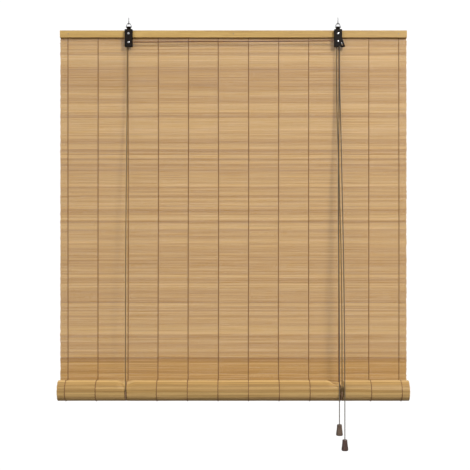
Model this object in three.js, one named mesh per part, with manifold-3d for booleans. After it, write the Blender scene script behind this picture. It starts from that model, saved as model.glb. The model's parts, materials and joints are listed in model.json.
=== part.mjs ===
// Roll-up bamboo blind, partly lowered: a slat screen clamped in a wooden rail, rolled up from the bottom
// by two lift cords, with a pulley bracket, a cord lock, two pull cords and two wooden tassels.
// Millimetres, +Z up. The front faces -Y. The origin is midway between the two screw hooks, in the
// plane of the ceiling that they are screwed into.

import * as THREE from 'three';
import { mergeVertices } from 'three/addons/utils/BufferGeometryUtils.js';
import Module from 'manifold-3d';

const wasm = await Module();
wasm.setup();

// ---------------------------------------------------------------- clearances
const gap = 0.3;              // between two pieces that touch or rest on each other
const cordGap = 0.5;          // between the ends of two stretches of cord
const holeClearance = 0.6;    // on the diameter of a hole that takes a screw, pin or nail
const runningClearance = 0.35; // on the radius, a loop on its bar

// ---------------------------------------------------------------- driving dimensions
const blindWidth = 900;       // slat length, and the rail's
const rollAxisDrop = 951.4;   // ceiling down to the axis of the roll
const screenThickness = 1.5;
const rolledPitch = 3.5;      // one loose layer of the rolled screen, slat and air
const rolledTurns = 4;
const rollOuterRadius = 28;   // where the hanging screen runs into the roll
const rollPointsPerTurn = 16;
const topBandBottom = -106;   // the stretch of screen that still hangs when the blind is fully raised

const railTop = -22;
const railHeight = 18;
const railFrontThickness = 7;
const railBackThickness = 6;
const railNailEndInset = 22;  // nail to rail end
const nailRadius = 0.7;
const nailHeadRadius = 1.3;
const nailHeadThickness = 0.6;
const nailBite = 3;           // how deep the nails go into the back slat

const battenWidth = 22;
const battenThickness = 9;

const hookSpan = 541.6;       // between the two screw hooks
const hookWireRadius = 1;
const hookBendRadius = 3.2;   // centreline
const hookCentreDrop = 4;
const hookThreadLength = 12;
const hookPointLength = 3;

const ringWireRadius = 0.9;
const ringHeight = 9.7;       // between the centres of the top wire and the bar
const ringHalfWidth = 7.6;    // centreline, at the bar
const ringApexHalfWidth = 3.4;
const ringCornerReach = 1.5;

const sheetMetal = 1.2;
const bracketWidth = 20.3;
const bracketHeight = 45.3;
const bracketCavity = 6.6;    // between the front and back plates
const bracketCornerRadius = 1.6;
const neckWidth = 10.8;
const neckHeight = 3.2;
const screwDrop = 11.6;       // bracket top edge down to the rail screw
const screwRadius = 1.5;
const screwHeadRadius = 3;
const screwHeadHeight = 1.8;
const screwBite = 6.5;        // into the rail

const axleRadius = 1.5;
const rivetHeadRadius = 2.7;
const rivetHeadHeight = 1.3;
const pulleySideClearance = 0.32;
const flangeRise = 1.5;       // pulley flange over the cord's centreline
const cordTurnRadius = 4;     // cord centreline on a pulley
const leftAxleDrop = 34.1;    // bracket top edge down to the pulley axle
const lockAxleDrop = 31.1;

const flareStart = 21.6;      // bracket top edge down to where the lock widens
const flareWidth = 8;
const mouthRadius = 3;        // rounded notch in the lock's lower edge, round the pull cords
const lockRollerRadius = 3.6;
const lockRollerTeeth = 14;
const lockRollerToothDepth = 0.35;
const lockRollerDrop = 35.6;  // bracket top edge down to the locked roller
const lockRollerTravel = 6;
const lockSlotSlope = 66.5;   // degrees below the horizontal
const lockPinRadius = 1.2;

const cordRadius = 1;
const cordSides = 8;
const cordDentDepth = 2.9;    // how far a lift cord pulls into the roll
const cordDentFloor = 1.5;    // half width of the dent's floor
const leftDentReach = 9;      // half width of the whole dent
const rightDentReach = 11;
const leftWrapShift = -3.9;   // from the bracket's centre to where its lift cord rounds the roll
const rightWrapShift = 5.9;

const eyeWireRadius = 0.8;
const eyeRadius = 3.2;
const eyeShank = 10;
const liftKnotRadius = 2.6;

const tassels = [             // beside where the cords leave the lock's pulley, and below the roll's axis
  { shift: -5, below: 82.6 },
  { shift: 8.8, below: 121.1 },
];
const tasselHeight = 28.2;
const tasselTopRadius = 5.9;
const tasselBottomRadius = 8.7;
const tasselEdgeRound = 2.4;
const tasselPocketRadius = 4;
const tasselPocketDepth = 9;
const tasselKnotRadius = 3;

// ---------------------------------------------------------------- places that follow from them
const hookX = hookSpan / 2;
const ringTopZ = -hookCentreDrop - hookBendRadius + hookWireRadius + gap + ringWireRadius;
const barZ = ringTopZ - ringHeight;
const loopInner = ringWireRadius + runningClearance;
const loopOuter = loopInner + sheetMetal;

const bracketTop = barZ - loopOuter - neckHeight;
const backPlateY = loopOuter;                               // rear face of the back plate
const cavityBackY = backPlateY - sheetMetal;
const cavityFrontY = cavityBackY - bracketCavity;
const frontPlateY = cavityFrontY - sheetMetal;              // front face of the front plate
const cavityMidY = (cavityBackY + cavityFrontY) / 2;

const railFrontY = backPlateY + gap;
const screenFrontY = railFrontY + railFrontThickness + gap;
const screenY = screenFrontY + screenThickness / 2;
const screenBackY = screenFrontY + screenThickness;
const railBackY = screenBackY + gap;
const railRearY = railBackY + railBackThickness;
const railBottom = railTop - railHeight;

const rollCentreRadius = rollOuterRadius - screenThickness / 2;
const rollY = screenY - rollCentreRadius;
const rollZ = -rollAxisDrop;
const rollFrontRadius = rollOuterRadius - rolledPitch / 2;  // half a turn in

const screwZ = bracketTop - screwDrop;
const leftAxleZ = bracketTop - leftAxleDrop;
const lockAxleZ = bracketTop - lockAxleDrop;
const flangeRadius = cordTurnRadius + flangeRise;
const grooveSpacing = 2 * cordRadius + 0.8;
const frontGrooveY = cavityMidY - grooveSpacing / 2;
const backGrooveY = cavityMidY + grooveSpacing / 2;

const lockExitX = hookX + cordTurnRadius;                   // where both pull cords leave the lock's pulley
const leftWrapX = -hookX + leftWrapShift;
const rightWrapX = hookX + rightWrapShift;
const cordOnRoll = gap + cordRadius;
const hangingCordY = rollY - rollFrontRadius - cordOnRoll;  // a pull cord in front of the roll
const backLegY = screenBackY + gap + cordRadius;            // a lift cord behind the screen
const eyeY = (railBackY + railRearY) / 2;
const eyeZ = railBottom - gap - eyeWireRadius - eyeRadius;
const liftKnotZ = eyeZ - eyeRadius - eyeWireRadius - gap - liftKnotRadius;

// ---------------------------------------------------------------- materials
const paint = (color, roughness, metalness) => new THREE.MeshStandardMaterial({ color, roughness, metalness });
const bamboo = paint(0xc9a877, 0.6, 0);
const railWood = paint(0xc9a664, 0.5, 0);
const tasselWood = paint(0x5d483a, 0.5, 0);
const cordBrown = paint(0x6f5a45, 0.9, 0);
const blackMetal = paint(0x2a241f, 0.45, 0.6);
const brightSteel = paint(0xc8c8c8, 0.3, 1);
const darkRoller = paint(0x55504a, 0.4, 0.8);

// ---------------------------------------------------------------- helpers
const blind = new THREE.Group();

function place(name, geometry, material) {
  const mesh = new THREE.Mesh(geometry, material);
  mesh.name = name;
  blind.add(mesh);
  return mesh;
}

function solid(geometry) {
  const bare = geometry.clone();
  bare.deleteAttribute('normal');
  bare.deleteAttribute('uv');
  const merged = mergeVertices(bare, 1e-5);
  return new wasm.Manifold(new wasm.Mesh({
    numProp: 3,
    vertProperties: new Float32Array(merged.attributes.position.array),
    triVerts: new Uint32Array(merged.index.array),
  }));
}

function geometryOf(manifold) {
  const mesh = manifold.getMesh();
  const geometry = new THREE.BufferGeometry();
  geometry.setAttribute('position', new THREE.BufferAttribute(new Float32Array(mesh.vertProperties), 3));
  geometry.setIndex(new THREE.BufferAttribute(new Uint32Array(mesh.triVerts), 1));
  return geometry;
}

function joined(...geometries) {
  return geometryOf(geometries.map(solid).reduce((a, b) => a.add(b)));
}

function cut(geometry, ...tools) {
  return geometryOf(tools.map(solid).reduce((a, b) => a.subtract(b), solid(geometry)));
}

function boxBetween(low, high) {
  const size = high.map((h, i) => h - low[i]);
  const box = new THREE.BoxGeometry(...size);
  return box.translate(low[0] + size[0] / 2, low[1] + size[1] / 2, low[2] + size[2] / 2);
}

// A round bar along Y, from y0 to y1.
function barAlongY(x, z, radius, y0, y1, sides = 20) {
  const bar = new THREE.CylinderGeometry(radius, radius, y1 - y0, sides);
  return bar.translate(x, (y0 + y1) / 2, z);
}

// A profile of [radius, height] points turned round the Y axis, then moved.
function turnedAlongY(profile, x, y, z, sides = 28) {
  const points = profile.map(([r, h]) => new THREE.Vector2(r, h));
  return new THREE.LatheGeometry(points, sides).translate(x, y, z);
}

// The same, turned round a vertical axis.
function turnedAlongZ(profile, x, y, z, sides = 24) {
  const points = profile.map(([r, h]) => new THREE.Vector2(r, h));
  return new THREE.LatheGeometry(points, sides).rotateX(Math.PI / 2).translate(x, y, z);
}

// A flat plate in the XZ plane, cut to shape and as thick as y0 to y1.
function plate(shape, y0, y1) {
  const geometry = new THREE.ExtrudeGeometry(shape, { depth: y1 - y0, bevelEnabled: false, curveSegments: 8 });
  return geometry.rotateX(Math.PI / 2).translate(0, y1, 0);
}

// The stations of a swept tube are chosen points, close together in the bends and far apart in straights.
class Route extends THREE.Curve {
  constructor(points) {
    super();
    this.points = points.map((p) => new THREE.Vector3(...p));
  }

  getSpacedPoints() {
    return this.points;
  }

  getTangentAt(u, target = new THREE.Vector3()) {
    const last = this.points.length - 1;
    const i = Math.round(u * last);
    const here = this.points[i];
    const before = here.clone().sub(this.points[Math.max(i - 1, 0)]).normalize();
    const after = this.points[Math.min(i + 1, last)].clone().sub(here).normalize();
    return target.copy(before.add(after).normalize());
  }
}

function tube(points, radius, sides = cordSides) {
  const section = new THREE.Shape();
  for (let i = 0; i < sides; i += 1) {
    const a = (i / sides) * 2 * Math.PI;
    const corner = [radius * Math.cos(a), radius * Math.sin(a)];
    if (i === 0) section.moveTo(...corner);
    else section.lineTo(...corner);
  }
  section.closePath();
  const extrudePath = new Route(points);
  return new THREE.ExtrudeGeometry(section, { steps: points.length - 1, extrudePath, bevelEnabled: false });
}

// Points on a circle in a plane: axis1 is at angle 0 and axis2 at 90 degrees.
function arc(centre, axis1, axis2, radius, from, to, steps) {
  const points = [];
  for (let i = 0; i <= steps; i += 1) {
    const a = THREE.MathUtils.degToRad(from + ((to - from) * i) / steps);
    const c = radius * Math.cos(a);
    const s = radius * Math.sin(a);
    points.push(centre.map((v, k) => v + c * axis1[k] + s * axis2[k]));
  }
  return points;
}

const X = [1, 0, 0];
const Y = [0, 1, 0];
const Z = [0, 0, 1];

// ---------------------------------------------------------------- screw hooks and rings
function screwHook(x) {
  const centre = [x, 0, -hookCentreDrop];
  const bend = arc(centre, Y, Z, hookBendRadius, 60, -218, 12);
  const shankBottom = -hookCentreDrop + hookBendRadius + 1.2 * hookWireRadius;
  const shaft = [x, 0, hookThreadLength - hookPointLength];
  const wire = tube([shaft, [x, 0, shankBottom], ...bend], hookWireRadius, 10);
  const point = turnedAlongZ([
    [0, -hookPointLength],
    [hookWireRadius, -hookPointLength],
    [0.1 * hookWireRadius, hookPointLength],
    [0, hookPointLength],
  ], x, 0, hookThreadLength - hookPointLength, 12);
  return joined(wire, point);
}

// A closed loop of wire: a torus whose turns are moved onto a rounded triangle with its point up.
function hangerRing(x) {
  const rounded = new THREE.Shape();
  const corners = [
    [-ringHalfWidth, 0],
    [ringHalfWidth, 0],
    [ringApexHalfWidth, ringHeight],
    [-ringApexHalfWidth, ringHeight],
  ].map(([a, b]) => new THREE.Vector2(a, b));
  corners.forEach((corner, i) => {
    const towards = (other) => other.clone().sub(corner).setLength(ringCornerReach).add(corner);
    const into = towards(corners[(i + 3) % 4]);
    const out = towards(corners[(i + 1) % 4]);
    if (i === 0) rounded.moveTo(into.x, into.y);
    else rounded.lineTo(into.x, into.y);
    rounded.quadraticCurveTo(corner.x, corner.y, out.x, out.y);
  });
  rounded.closePath();
  const turns = 36;
  const sides = 8;
  const line = rounded.getSpacedPoints(turns);
  const ring = new THREE.TorusGeometry(1, 0.5, sides, turns);
  const position = ring.attributes.position;
  for (let j = 0; j <= sides; j += 1) {
    const b = (j / sides) * 2 * Math.PI;
    for (let i = 0; i <= turns; i += 1) {
      const here = line[i % turns];
      const ahead = line[(i + 1) % turns];
      const behind = line[(i + turns - 1) % turns];
      const tangent = ahead.clone().sub(behind).normalize();
      const out = ringWireRadius * Math.cos(b);
      const px = here.x + tangent.y * out;
      const pz = here.y - tangent.x * out;
      position.setXYZ(j * (turns + 1) + i, x + px, -ringWireRadius * Math.sin(b), barZ + pz);
    }
  }
  return ring;
}

[['left', -hookX], ['right', hookX]].forEach(([side, x]) => {
  place(`screw_hook_${side}`, screwHook(x), brightSteel);
  place(`hanger_ring_${side}`, hangerRing(x), brightSteel);
});

// ---------------------------------------------------------------- brackets
// The neck rises from the back plate and curls forward over the ring's bar.
function neckAndLoop(x) {
  const profile = new THREE.Shape();
  profile.absarc(0, 0, loopOuter, 0, 2 * Math.PI, false);
  const bore = new THREE.Path();
  bore.absarc(0, 0, loopInner, 0, 2 * Math.PI, true);
  profile.holes.push(bore);
  const along = { depth: neckWidth, bevelEnabled: false, curveSegments: 12 };
  const loop = new THREE.ExtrudeGeometry(profile, along);
  const turn = new THREE.Matrix4().makeBasis(new THREE.Vector3(...Y), new THREE.Vector3(...Z), new THREE.Vector3(...X));
  loop.applyMatrix4(turn);
  loop.translate(x - neckWidth / 2, 0, barZ);
  const neck = boxBetween(
    [x - neckWidth / 2, cavityBackY, bracketTop - sheetMetal],
    [x + neckWidth / 2, backPlateY, barZ],
  );
  return [loop, neck];
}

function roundedOutline(corners, radius) {
  const shape = new THREE.Shape();
  const points = corners.map(([a, b]) => new THREE.Vector2(a, b));
  points.forEach((corner, i) => {
    const towards = (other) => other.clone().sub(corner).setLength(radius).add(corner);
    const into = towards(points[(i + points.length - 1) % points.length]);
    const out = towards(points[(i + 1) % points.length]);
    if (i === 0) shape.moveTo(into.x, into.y);
    else shape.lineTo(into.x, into.y);
    shape.quadraticCurveTo(corner.x, corner.y, out.x, out.y);
  });
  shape.closePath();
  return shape;
}

// Front and back plates of one outline, with the wall that joins them along one edge. The plates'
// outline is given from the bracket's centre line and top edge, with Z down as negative.
function folded(x, outline, wallCorners) {
  const moved = (points) => points.map(([a, b]) => [x + a, bracketTop + b]);
  const outlineShape = roundedOutline(moved(outline), bracketCornerRadius);
  const wallShape = new THREE.Shape(moved(wallCorners).map(([a, b]) => new THREE.Vector2(a, b)));
  return joined(
    plate(outlineShape, frontPlateY, cavityFrontY),
    plate(outlineShape, cavityBackY, backPlateY),
    plate(wallShape, frontPlateY + sheetMetal / 2, backPlateY - sheetMetal / 2),
    ...neckAndLoop(x),
  );
}

function throughHole(x, z, radius) {
  return barAlongY(x, z, radius + holeClearance / 2, frontPlateY - 1, backPlateY + 1);
}

const half = bracketWidth / 2;
const bracketOutline = [[-half, 0], [half, 0], [half, -bracketHeight], [-half, -bracketHeight]];
const wallTop = -bracketCornerRadius;
const wallBottom = -bracketHeight + bracketCornerRadius;
const leftWall = [
  [-half, wallTop],
  [-half + sheetMetal, wallTop],
  [-half + sheetMetal, wallBottom],
  [-half, wallBottom],
];
place('pulley_bracket_left', cut(
  folded(-hookX, bracketOutline, leftWall),
  throughHole(-hookX, screwZ, screwRadius),
  throughHole(-hookX, leftAxleZ, axleRadius),
), blackMetal);

// The cord lock widens to the right below the flare, where its roller runs in a slanted slot.
const flareX = (down) => half + (flareWidth * (down - flareStart)) / (bracketHeight - flareStart);
const lockOutline = [
  [-half, 0],
  [half, 0],
  [half, -flareStart],
  [flareX(bracketHeight), -bracketHeight],
  [-half, -bracketHeight],
];
const flareBottom = bracketHeight - bracketCornerRadius;
const lockWall = [
  [half - sheetMetal, wallTop],
  [half, wallTop],
  [half, -flareStart],
  [flareX(flareBottom), -flareBottom],
  [flareX(flareBottom) - sheetMetal, -flareBottom],
  [half - sheetMetal, -flareStart],
];
const slope = THREE.MathUtils.degToRad(lockSlotSlope);
const slotDirection = [Math.cos(slope), -Math.sin(slope)];
const lockRollerX = lockExitX + cordRadius + gap + lockRollerRadius;
const lockRollerZ = bracketTop - lockRollerDrop;

function lockSlot() {
  const radius = lockPinRadius + holeClearance / 2;
  const ends = [0, lockRollerTravel].map((s) => [
    lockRollerX + s * slotDirection[0],
    lockRollerZ + s * slotDirection[1],
  ]);
  const web = boxBetween(
    [-radius, frontPlateY - 1, -lockRollerTravel],
    [radius, backPlateY + 1, 0],
  );
  web.rotateY(slope - Math.PI / 2);
  web.translate(ends[0][0], 0, ends[0][1]);
  const rounds = ends.map(([x, z]) => barAlongY(x, z, radius, frontPlateY - 1, backPlateY + 1));
  return joined(web, ...rounds);
}

place('cord_lock_housing', cut(
  folded(hookX, lockOutline, lockWall),
  throughHole(hookX, screwZ, screwRadius),
  throughHole(hookX, lockAxleZ, axleRadius),
  barAlongY(lockExitX, bracketTop - bracketHeight, mouthRadius, frontPlateY - 1, backPlateY + 1),
  lockSlot(),
), blackMetal);

// ---------------------------------------------------------------- screws, axles, pulleys, lock roller
const headBackY = frontPlateY - gap;
const screwTipY = railFrontY + screwBite;

function bracketScrew(x) {
  const profile = [
    [0, headBackY - screwHeadHeight],
    [0.55 * screwHeadRadius, headBackY - screwHeadHeight],
    [0.9 * screwHeadRadius, headBackY - 0.6 * screwHeadHeight],
    [screwHeadRadius, headBackY],
    [screwRadius, headBackY],
    [screwRadius, screwTipY - 2 * screwRadius],
    [0.2 * screwRadius, screwTipY],
    [0, screwTipY],
  ];
  return turnedAlongY(profile, x, 0, screwZ, 20);
}

// A headed rivet through both plates, closed up behind the back plate.
function rivet(x, z) {
  const rearY = backPlateY + gap;
  const profile = [
    [0, headBackY - rivetHeadHeight],
    [0.6 * rivetHeadRadius, headBackY - rivetHeadHeight],
    [rivetHeadRadius, headBackY - 0.4 * rivetHeadHeight],
    [rivetHeadRadius, headBackY],
    [axleRadius, headBackY],
    [axleRadius, rearY],
    [0.9 * rivetHeadRadius, rearY],
    [0.6 * rivetHeadRadius, rearY + 0.8 * rivetHeadHeight],
    [0, rearY + 0.8 * rivetHeadHeight],
  ];
  return turnedAlongY(profile, x, 0, z, 20);
}

// A pulley with one or two grooves, bored for its axle.
function pulley(x, z, grooves) {
  const front = cavityFrontY + pulleySideClearance;
  const back = cavityBackY - pulleySideClearance;
  const floor = cordTurnRadius - cordRadius - gap;
  const bore = axleRadius + holeClearance / 2;
  const lip = cordRadius + gap;
  const floorHalf = cordRadius + gap / 4;
  const profile = [[bore, front], [flangeRadius, front]];
  grooves.forEach((y) => {
    profile.push([flangeRadius, y - lip]);
    profile.push([floor, y - floorHalf]);
    profile.push([floor, y + floorHalf]);
    profile.push([flangeRadius, y + lip]);
  });
  profile.push([flangeRadius, back], [bore, back], [bore, front]);
  return turnedAlongY(profile, x, 0, z, 24);
}

place('bracket_screw_left', bracketScrew(-hookX), brightSteel);
place('bracket_screw_right', bracketScrew(hookX), brightSteel);
place('pulley_axle_left', rivet(-hookX, leftAxleZ), brightSteel);
place('lock_axle', rivet(hookX, lockAxleZ), brightSteel);
place('pulley_left', pulley(-hookX, leftAxleZ, [cavityMidY]), darkRoller);
place('lock_pulley', pulley(hookX, lockAxleZ, [frontGrooveY, backGrooveY]), darkRoller);

// The lock roller is toothed along its length and turns on a pin that slides in the housing's slots.
function lockRoller() {
  const star = new THREE.Shape();
  for (let i = 0; i < 2 * lockRollerTeeth; i += 1) {
    const a = (i / lockRollerTeeth) * Math.PI;
    const r = lockRollerRadius - (i % 2 ? lockRollerToothDepth : 0);
    const corner = [lockRollerX + r * Math.cos(a), lockRollerZ + r * Math.sin(a)];
    if (i === 0) star.moveTo(...corner);
    else star.lineTo(...corner);
  }
  star.closePath();
  const bore = new THREE.Path();
  bore.absarc(lockRollerX, lockRollerZ, lockPinRadius + holeClearance / 2, 0, 2 * Math.PI, true);
  star.holes.push(bore);
  return plate(star, cavityFrontY + pulleySideClearance, cavityBackY - pulleySideClearance);
}

place('lock_roller', lockRoller(), darkRoller);
place('lock_roller_pin', barAlongY(lockRollerX, lockRollerZ, lockPinRadius, frontPlateY, backPlateY), brightSteel);

// ---------------------------------------------------------------- rail, nails and screen
const halfWidth = blindWidth / 2;
const nailXs = [-halfWidth + railNailEndInset, 0, halfWidth - railNailEndInset];
const nailZ = railTop - railHeight / 2;
const nailTipY = railBackY + nailBite;
const nailHole = (x) => barAlongY(x, nailZ, nailRadius + holeClearance / 2, railFrontY - 1, nailTipY + gap, 12);
const screwHole = (x) => barAlongY(x, screwZ, screwRadius + holeClearance / 2, railFrontY - 1, screwTipY + gap);
const eyeHole = (x) => new THREE.CylinderGeometry(
  eyeWireRadius + holeClearance / 2,
  eyeWireRadius + holeClearance / 2,
  2 * (eyeShank + gap),
  12,
).rotateX(Math.PI / 2).translate(x, eyeY, railBottom);

place('rail_front', cut(
  boxBetween([-halfWidth, railFrontY, railBottom], [halfWidth, railFrontY + railFrontThickness, railTop]),
  screwHole(-hookX),
  screwHole(hookX),
  ...nailXs.map(nailHole),
), railWood);
place('rail_back', cut(
  boxBetween([-halfWidth, railBackY, railBottom], [halfWidth, railRearY, railTop]),
  eyeHole(leftWrapX),
  eyeHole(rightWrapX),
  ...nailXs.map(nailHole),
), railWood);
place('screen_top_band', cut(
  boxBetween([-halfWidth, screenFrontY, topBandBottom], [halfWidth, screenBackY, railTop - 2 * gap]),
  ...nailXs.map(nailHole),
), bamboo);
nailXs.forEach((x, i) => {
  const headY = railFrontY - gap;
  const profile = [
    [0, headY - nailHeadThickness],
    [nailHeadRadius, headY - nailHeadThickness],
    [nailHeadRadius, headY],
    [nailRadius, headY],
    [nailRadius, nailTipY - 2 * nailRadius],
    [0, nailTipY],
  ];
  place(`rail_nail_${i + 1}`, turnedAlongY(profile, x, 0, nailZ, 12), brightSteel);
});
place('screen_hanging', boxBetween(
  [-halfWidth, screenFrontY, rollZ + gap],
  [halfWidth, screenBackY, topBandBottom - gap],
), bamboo);

// ---------------------------------------------------------------- the roll
// The turn angle runs from the back, where the hanging screen enters, down under the roll, up its front
// and over the top, inwards. A dent lets each lift cord lie below the surface; it is shallow at the entry.
const dents = [
  { x: leftWrapX, reach: leftDentReach },
  { x: rightWrapX, reach: rightDentReach },
];
const dentFullAngle = Math.PI / 3;
const dentLayers = 2;

function dentAcross(x) {
  return Math.max(...dents.map(({ x: centre, reach }) => {
    const away = Math.abs(x - centre);
    return 1 - Math.min(Math.max((away - cordDentFloor) / (reach - cordDentFloor), 0), 1);
  }));
}

function dentAlong(angle) {
  const start = Math.min(angle / dentFullAngle, 1);
  const layer = angle / (2 * Math.PI);
  return cordDentDepth * start * Math.max(1 - layer / dentLayers, 0);
}

function rollRadius(angle) {
  return rollCentreRadius - (rolledPitch * angle) / (2 * Math.PI);
}

// The rolled screen is a long box whose vertices are moved onto the spiral.
function rolledScreen() {
  const stations = [-halfWidth];
  dents.forEach(({ x, reach }) => {
    stations.push(x - reach, x - cordDentFloor, x + cordDentFloor, x + reach);
  });
  stations.push(halfWidth);
  const steps = Math.round(rollPointsPerTurn * rolledTurns);
  const strip = new THREE.BoxGeometry(1, 1, 1, stations.length - 1, 1, steps);
  const position = strip.attributes.position;
  for (let i = 0; i < position.count; i += 1) {
    const station = Math.round((position.getX(i) + 0.5) * (stations.length - 1));
    const outward = position.getY(i) * screenThickness;
    const angle = (0.5 - position.getZ(i)) * rolledTurns * 2 * Math.PI;
    const x = stations[station];
    const r = rollRadius(angle) + outward - dentAcross(x) * dentAlong(angle);
    position.setXYZ(i, x, rollY + r * Math.cos(angle), rollZ - r * Math.sin(angle));
  }
  return strip;
}

place('screen_roll', rolledScreen(), bamboo);
place('bottom_batten', boxBetween(
  [-halfWidth, rollY - battenThickness / 2, rollZ - battenWidth / 2],
  [halfWidth, rollY + battenThickness / 2, rollZ + battenWidth / 2],
), railWood);

// ---------------------------------------------------------------- lift cords
// Each runs from its pulley down the front, under the roll and up behind the screen to an eye in the rail.
function wrapRadius(angle) {
  const surface = rollRadius(angle) + screenThickness / 2 - dentAlong(angle);
  const behindScreen = backLegY - rollY;
  const entering = Math.max(1 - angle / dentFullAngle, 0);
  return Math.max(surface + cordOnRoll, entering * behindScreen);
}

function wrapPoint(x, angle) {
  const r = wrapRadius(angle);
  return [x, rollY + r * Math.cos(angle), rollZ - r * Math.sin(angle)];
}

function liftWrap(x) {
  const steps = 16;
  const points = [];
  for (let i = 0; i <= steps; i += 1) points.push(wrapPoint(x, Math.PI * (1 - i / steps)));
  return tube(points, cordRadius);
}

function straight(from, to, steps = 1) {
  const start = new THREE.Vector3(...from);
  const end = new THREE.Vector3(...to);
  const points = [];
  for (let i = 0; i <= steps; i += 1) points.push(start.clone().lerp(end, i / steps).toArray());
  return tube(points, cordRadius);
}

const legTop = (axleZ) => axleZ - cordGap;
const legBottom = rollZ + cordGap;
const wrapFrontY = wrapPoint(0, Math.PI)[1];
const liftCords = [
  { side: 'left', top: [-hookX - cordTurnRadius, cavityMidY, legTop(leftAxleZ)], wrapX: leftWrapX },
  { side: 'right', top: [hookX - cordTurnRadius, backGrooveY, legTop(lockAxleZ)], wrapX: rightWrapX },
];
liftCords.forEach(({ side, top, wrapX }) => {
  place(`lift_cord_${side}_front`, straight(top, [wrapX, wrapFrontY, legBottom]), cordBrown);
  place(`lift_cord_${side}_wrap`, liftWrap(wrapX), cordBrown);
  const backTop = [wrapX, eyeY, liftKnotZ - liftKnotRadius - gap];
  place(`lift_cord_${side}_back`, straight([wrapX, backLegY, legBottom], backTop), cordBrown);
  const shank = new THREE.CylinderGeometry(eyeWireRadius, eyeWireRadius, eyeShank + gap, 10);
  shank.rotateX(Math.PI / 2);
  shank.translate(wrapX, eyeY, railBottom - gap - eyeWireRadius / 2 + (eyeShank + gap) / 2);
  const eye = new THREE.TorusGeometry(eyeRadius, eyeWireRadius, 8, 20);
  eye.rotateX(Math.PI / 2);
  eye.translate(wrapX, eyeY, eyeZ);
  place(`cord_eye_${side}`, joined(eye, shank), brightSteel);
  const knot = new THREE.SphereGeometry(liftKnotRadius, 12, 8).translate(wrapX, eyeY, liftKnotZ);
  place(`lift_knot_${side}`, knot, cordBrown);
});

// The left lift cord turns over its pulley, crosses to the lock and turns down over the front groove.
// The right one turns over the back groove.
place('cross_cord', tube([
  ...arc([-hookX, cavityMidY, leftAxleZ], [-1, 0, 0], Z, cordTurnRadius, 0, 90, 5),
  ...arc([hookX, frontGrooveY, lockAxleZ], Z, X, cordTurnRadius, 0, 90, 5),
], cordRadius), cordBrown);
place('lift_cord_right_turn', tube(
  arc([hookX, backGrooveY, lockAxleZ], [-1, 0, 0], Z, cordTurnRadius, 0, 180, 10),
  cordRadius,
), cordBrown);

// ---------------------------------------------------------------- pull cords and tassels
// Both leave the lock's right side and hang over the front of the roll. The first crosses in front of
// the right lift cord. The sideways drifts are chosen by hand, evenly spaced from the lock down.
const pullCords = [
  { groove: frontGrooveY, drifts: [0, -0.4, -1.2, -2.6, -4.2, -5.4, -6.1, -6.4, -6.3, -6, -5.6, -5.3, -5.1] },
  { groove: backGrooveY, drifts: [0, 0.3, 1.2, 2.1, 3, 3.8, 4.6, 5.4, 6.1, 6.8, 7.4, 8, 8.5] },
];
pullCords.forEach(({ groove, drifts }, i) => {
  const number = i + 1;
  const { shift, below } = tassels[i];
  const x = lockExitX + shift;
  const top = rollZ - below;
  const startZ = legTop(lockAxleZ);
  const points = [...drifts, shift].map((drift, k) => {
    const t = k / drifts.length;
    return [lockExitX + drift, groove + t * (hangingCordY - groove), startZ + t * (legBottom - startZ)];
  });
  place(`pull_cord_${number}_upper`, tube(points, cordRadius), cordBrown);
  const knotZ = top - tasselHeight + tasselPocketDepth - gap - tasselKnotRadius;
  place(`pull_cord_${number}_lower`, straight(
    [x, hangingCordY, rollZ],
    [x, hangingCordY, knotZ + tasselKnotRadius + gap],
  ), cordBrown);
  place(`tassel_knot_${number}`, new THREE.SphereGeometry(tasselKnotRadius, 12, 8)
    .translate(x, hangingCordY, knotZ), cordBrown);

  // turned wood, open through the middle for the cord, with a pocket below for the knot
  const bore = cordRadius + holeClearance / 2;
  const profile = [
    [bore, 0],
    [tasselTopRadius - 1, 0],
    [tasselTopRadius, -1],
  ];
  const roundSteps = 4;
  for (let k = 0; k <= roundSteps; k += 1) {
    const a = (k / roundSteps) * (Math.PI / 2);
    profile.push([
      tasselBottomRadius - tasselEdgeRound * (1 - Math.cos(a)),
      -tasselHeight + tasselEdgeRound * (1 - Math.sin(a)),
    ]);
  }
  profile.push(
    [tasselPocketRadius, -tasselHeight],
    [tasselPocketRadius, -tasselHeight + tasselPocketDepth],
    [bore, -tasselHeight + tasselPocketDepth],
    [bore, 0],
  );
  place(`cord_tassel_${number}`, turnedAlongZ(profile.reverse(), x, hangingCordY, top), tasselWood);
});

export default blind;
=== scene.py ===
"""Looks of the roll-up slat blind: woven bamboo slats, cords, turned tassels and hardware on the CAD frame.

Metres, in the frame of the CAD model. The front faces -Y, and the origin is in the ceiling's plane
between the two screw hooks. The screen hangs from the rail and is rolled up forwards, so the roll shows
the back of its slats.
"""

import json
import math

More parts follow.
